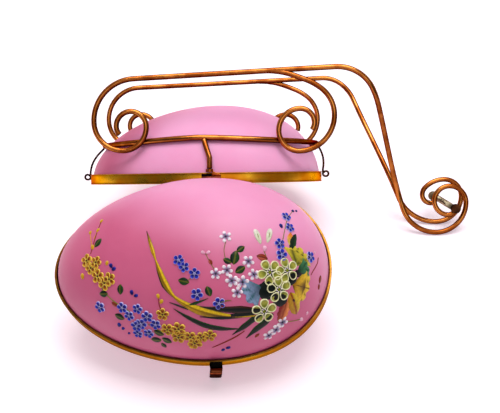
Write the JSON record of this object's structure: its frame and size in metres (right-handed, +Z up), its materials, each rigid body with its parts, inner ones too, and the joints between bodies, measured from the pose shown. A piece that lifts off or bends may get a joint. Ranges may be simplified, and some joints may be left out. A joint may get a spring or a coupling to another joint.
{
  "type": "egg trinket box",
  "caption": "Egg-shaped opaline glass trinket box with gilt bezels, hinged lid and catch, on a scrolled wire sleigh stand with a handle, shown upside down and open.",
  "frame": {"origin": "bottom centre of the bounding box, on the floor, in the pictured pose: upside down and open like a tent", "axes": "+X along the egg from its thin end to its blunt end and on to the handle; +Y from the lid at the front to the bowl at the back; +Z up from the floor, which is away from the mouths of both halves"},
  "size_m": [0.2496, 0.2246, 0.1102],
  "materials": {
    "opal_glass": "pink opaline glass, satin, hardly see-through",
    "gilt": "polished gilt brass, darker in the grooves",
    "copper_gilt": "polished gilt wire worn to a copper tone",
    "dark_brass": "browned brass, dull",
    "pale_brass": "pale worn brass, satin"
  },
  "bodies": {
    "bowl_and_stand": {"bowl_glass": "opal_glass", "bowl_bezel": "gilt", "belt_hoop": "gilt", "near_runner": "copper_gilt", "near_rear_scroll": "copper_gilt", "far_runner": "copper_gilt", "far_rear_scroll": "copper_gilt", "handle_bar": "pale_brass", "near_bar_cap": "dark_brass", "far_bar_cap": "dark_brass", "hinge_post": "gilt", "front_post": "gilt", "hinge_post_collar": "gilt", "front_post_collar": "gilt", "thin_end_stay": "dark_brass", "blunt_end_stay": "dark_brass", "catch_stud": "gilt", "bowl_hinge_leaf": "dark_brass", "hinge_pin": "dark_brass"},
    "lid": {"lid_glass": "opal_glass", "lid_bezel": "gilt", "lid_catch": "dark_brass", "lid_hinge_leaf": "dark_brass"}
  },
  "joints": [
    {"name": "lid_hinge", "type": "hinge", "parent": "bowl_and_stand", "child": "lid", "pos_m": [-0.03659, -0.0095, 0.06168], "axis": [1, 0, 0], "range_deg": [0, 120]}
  ]
}
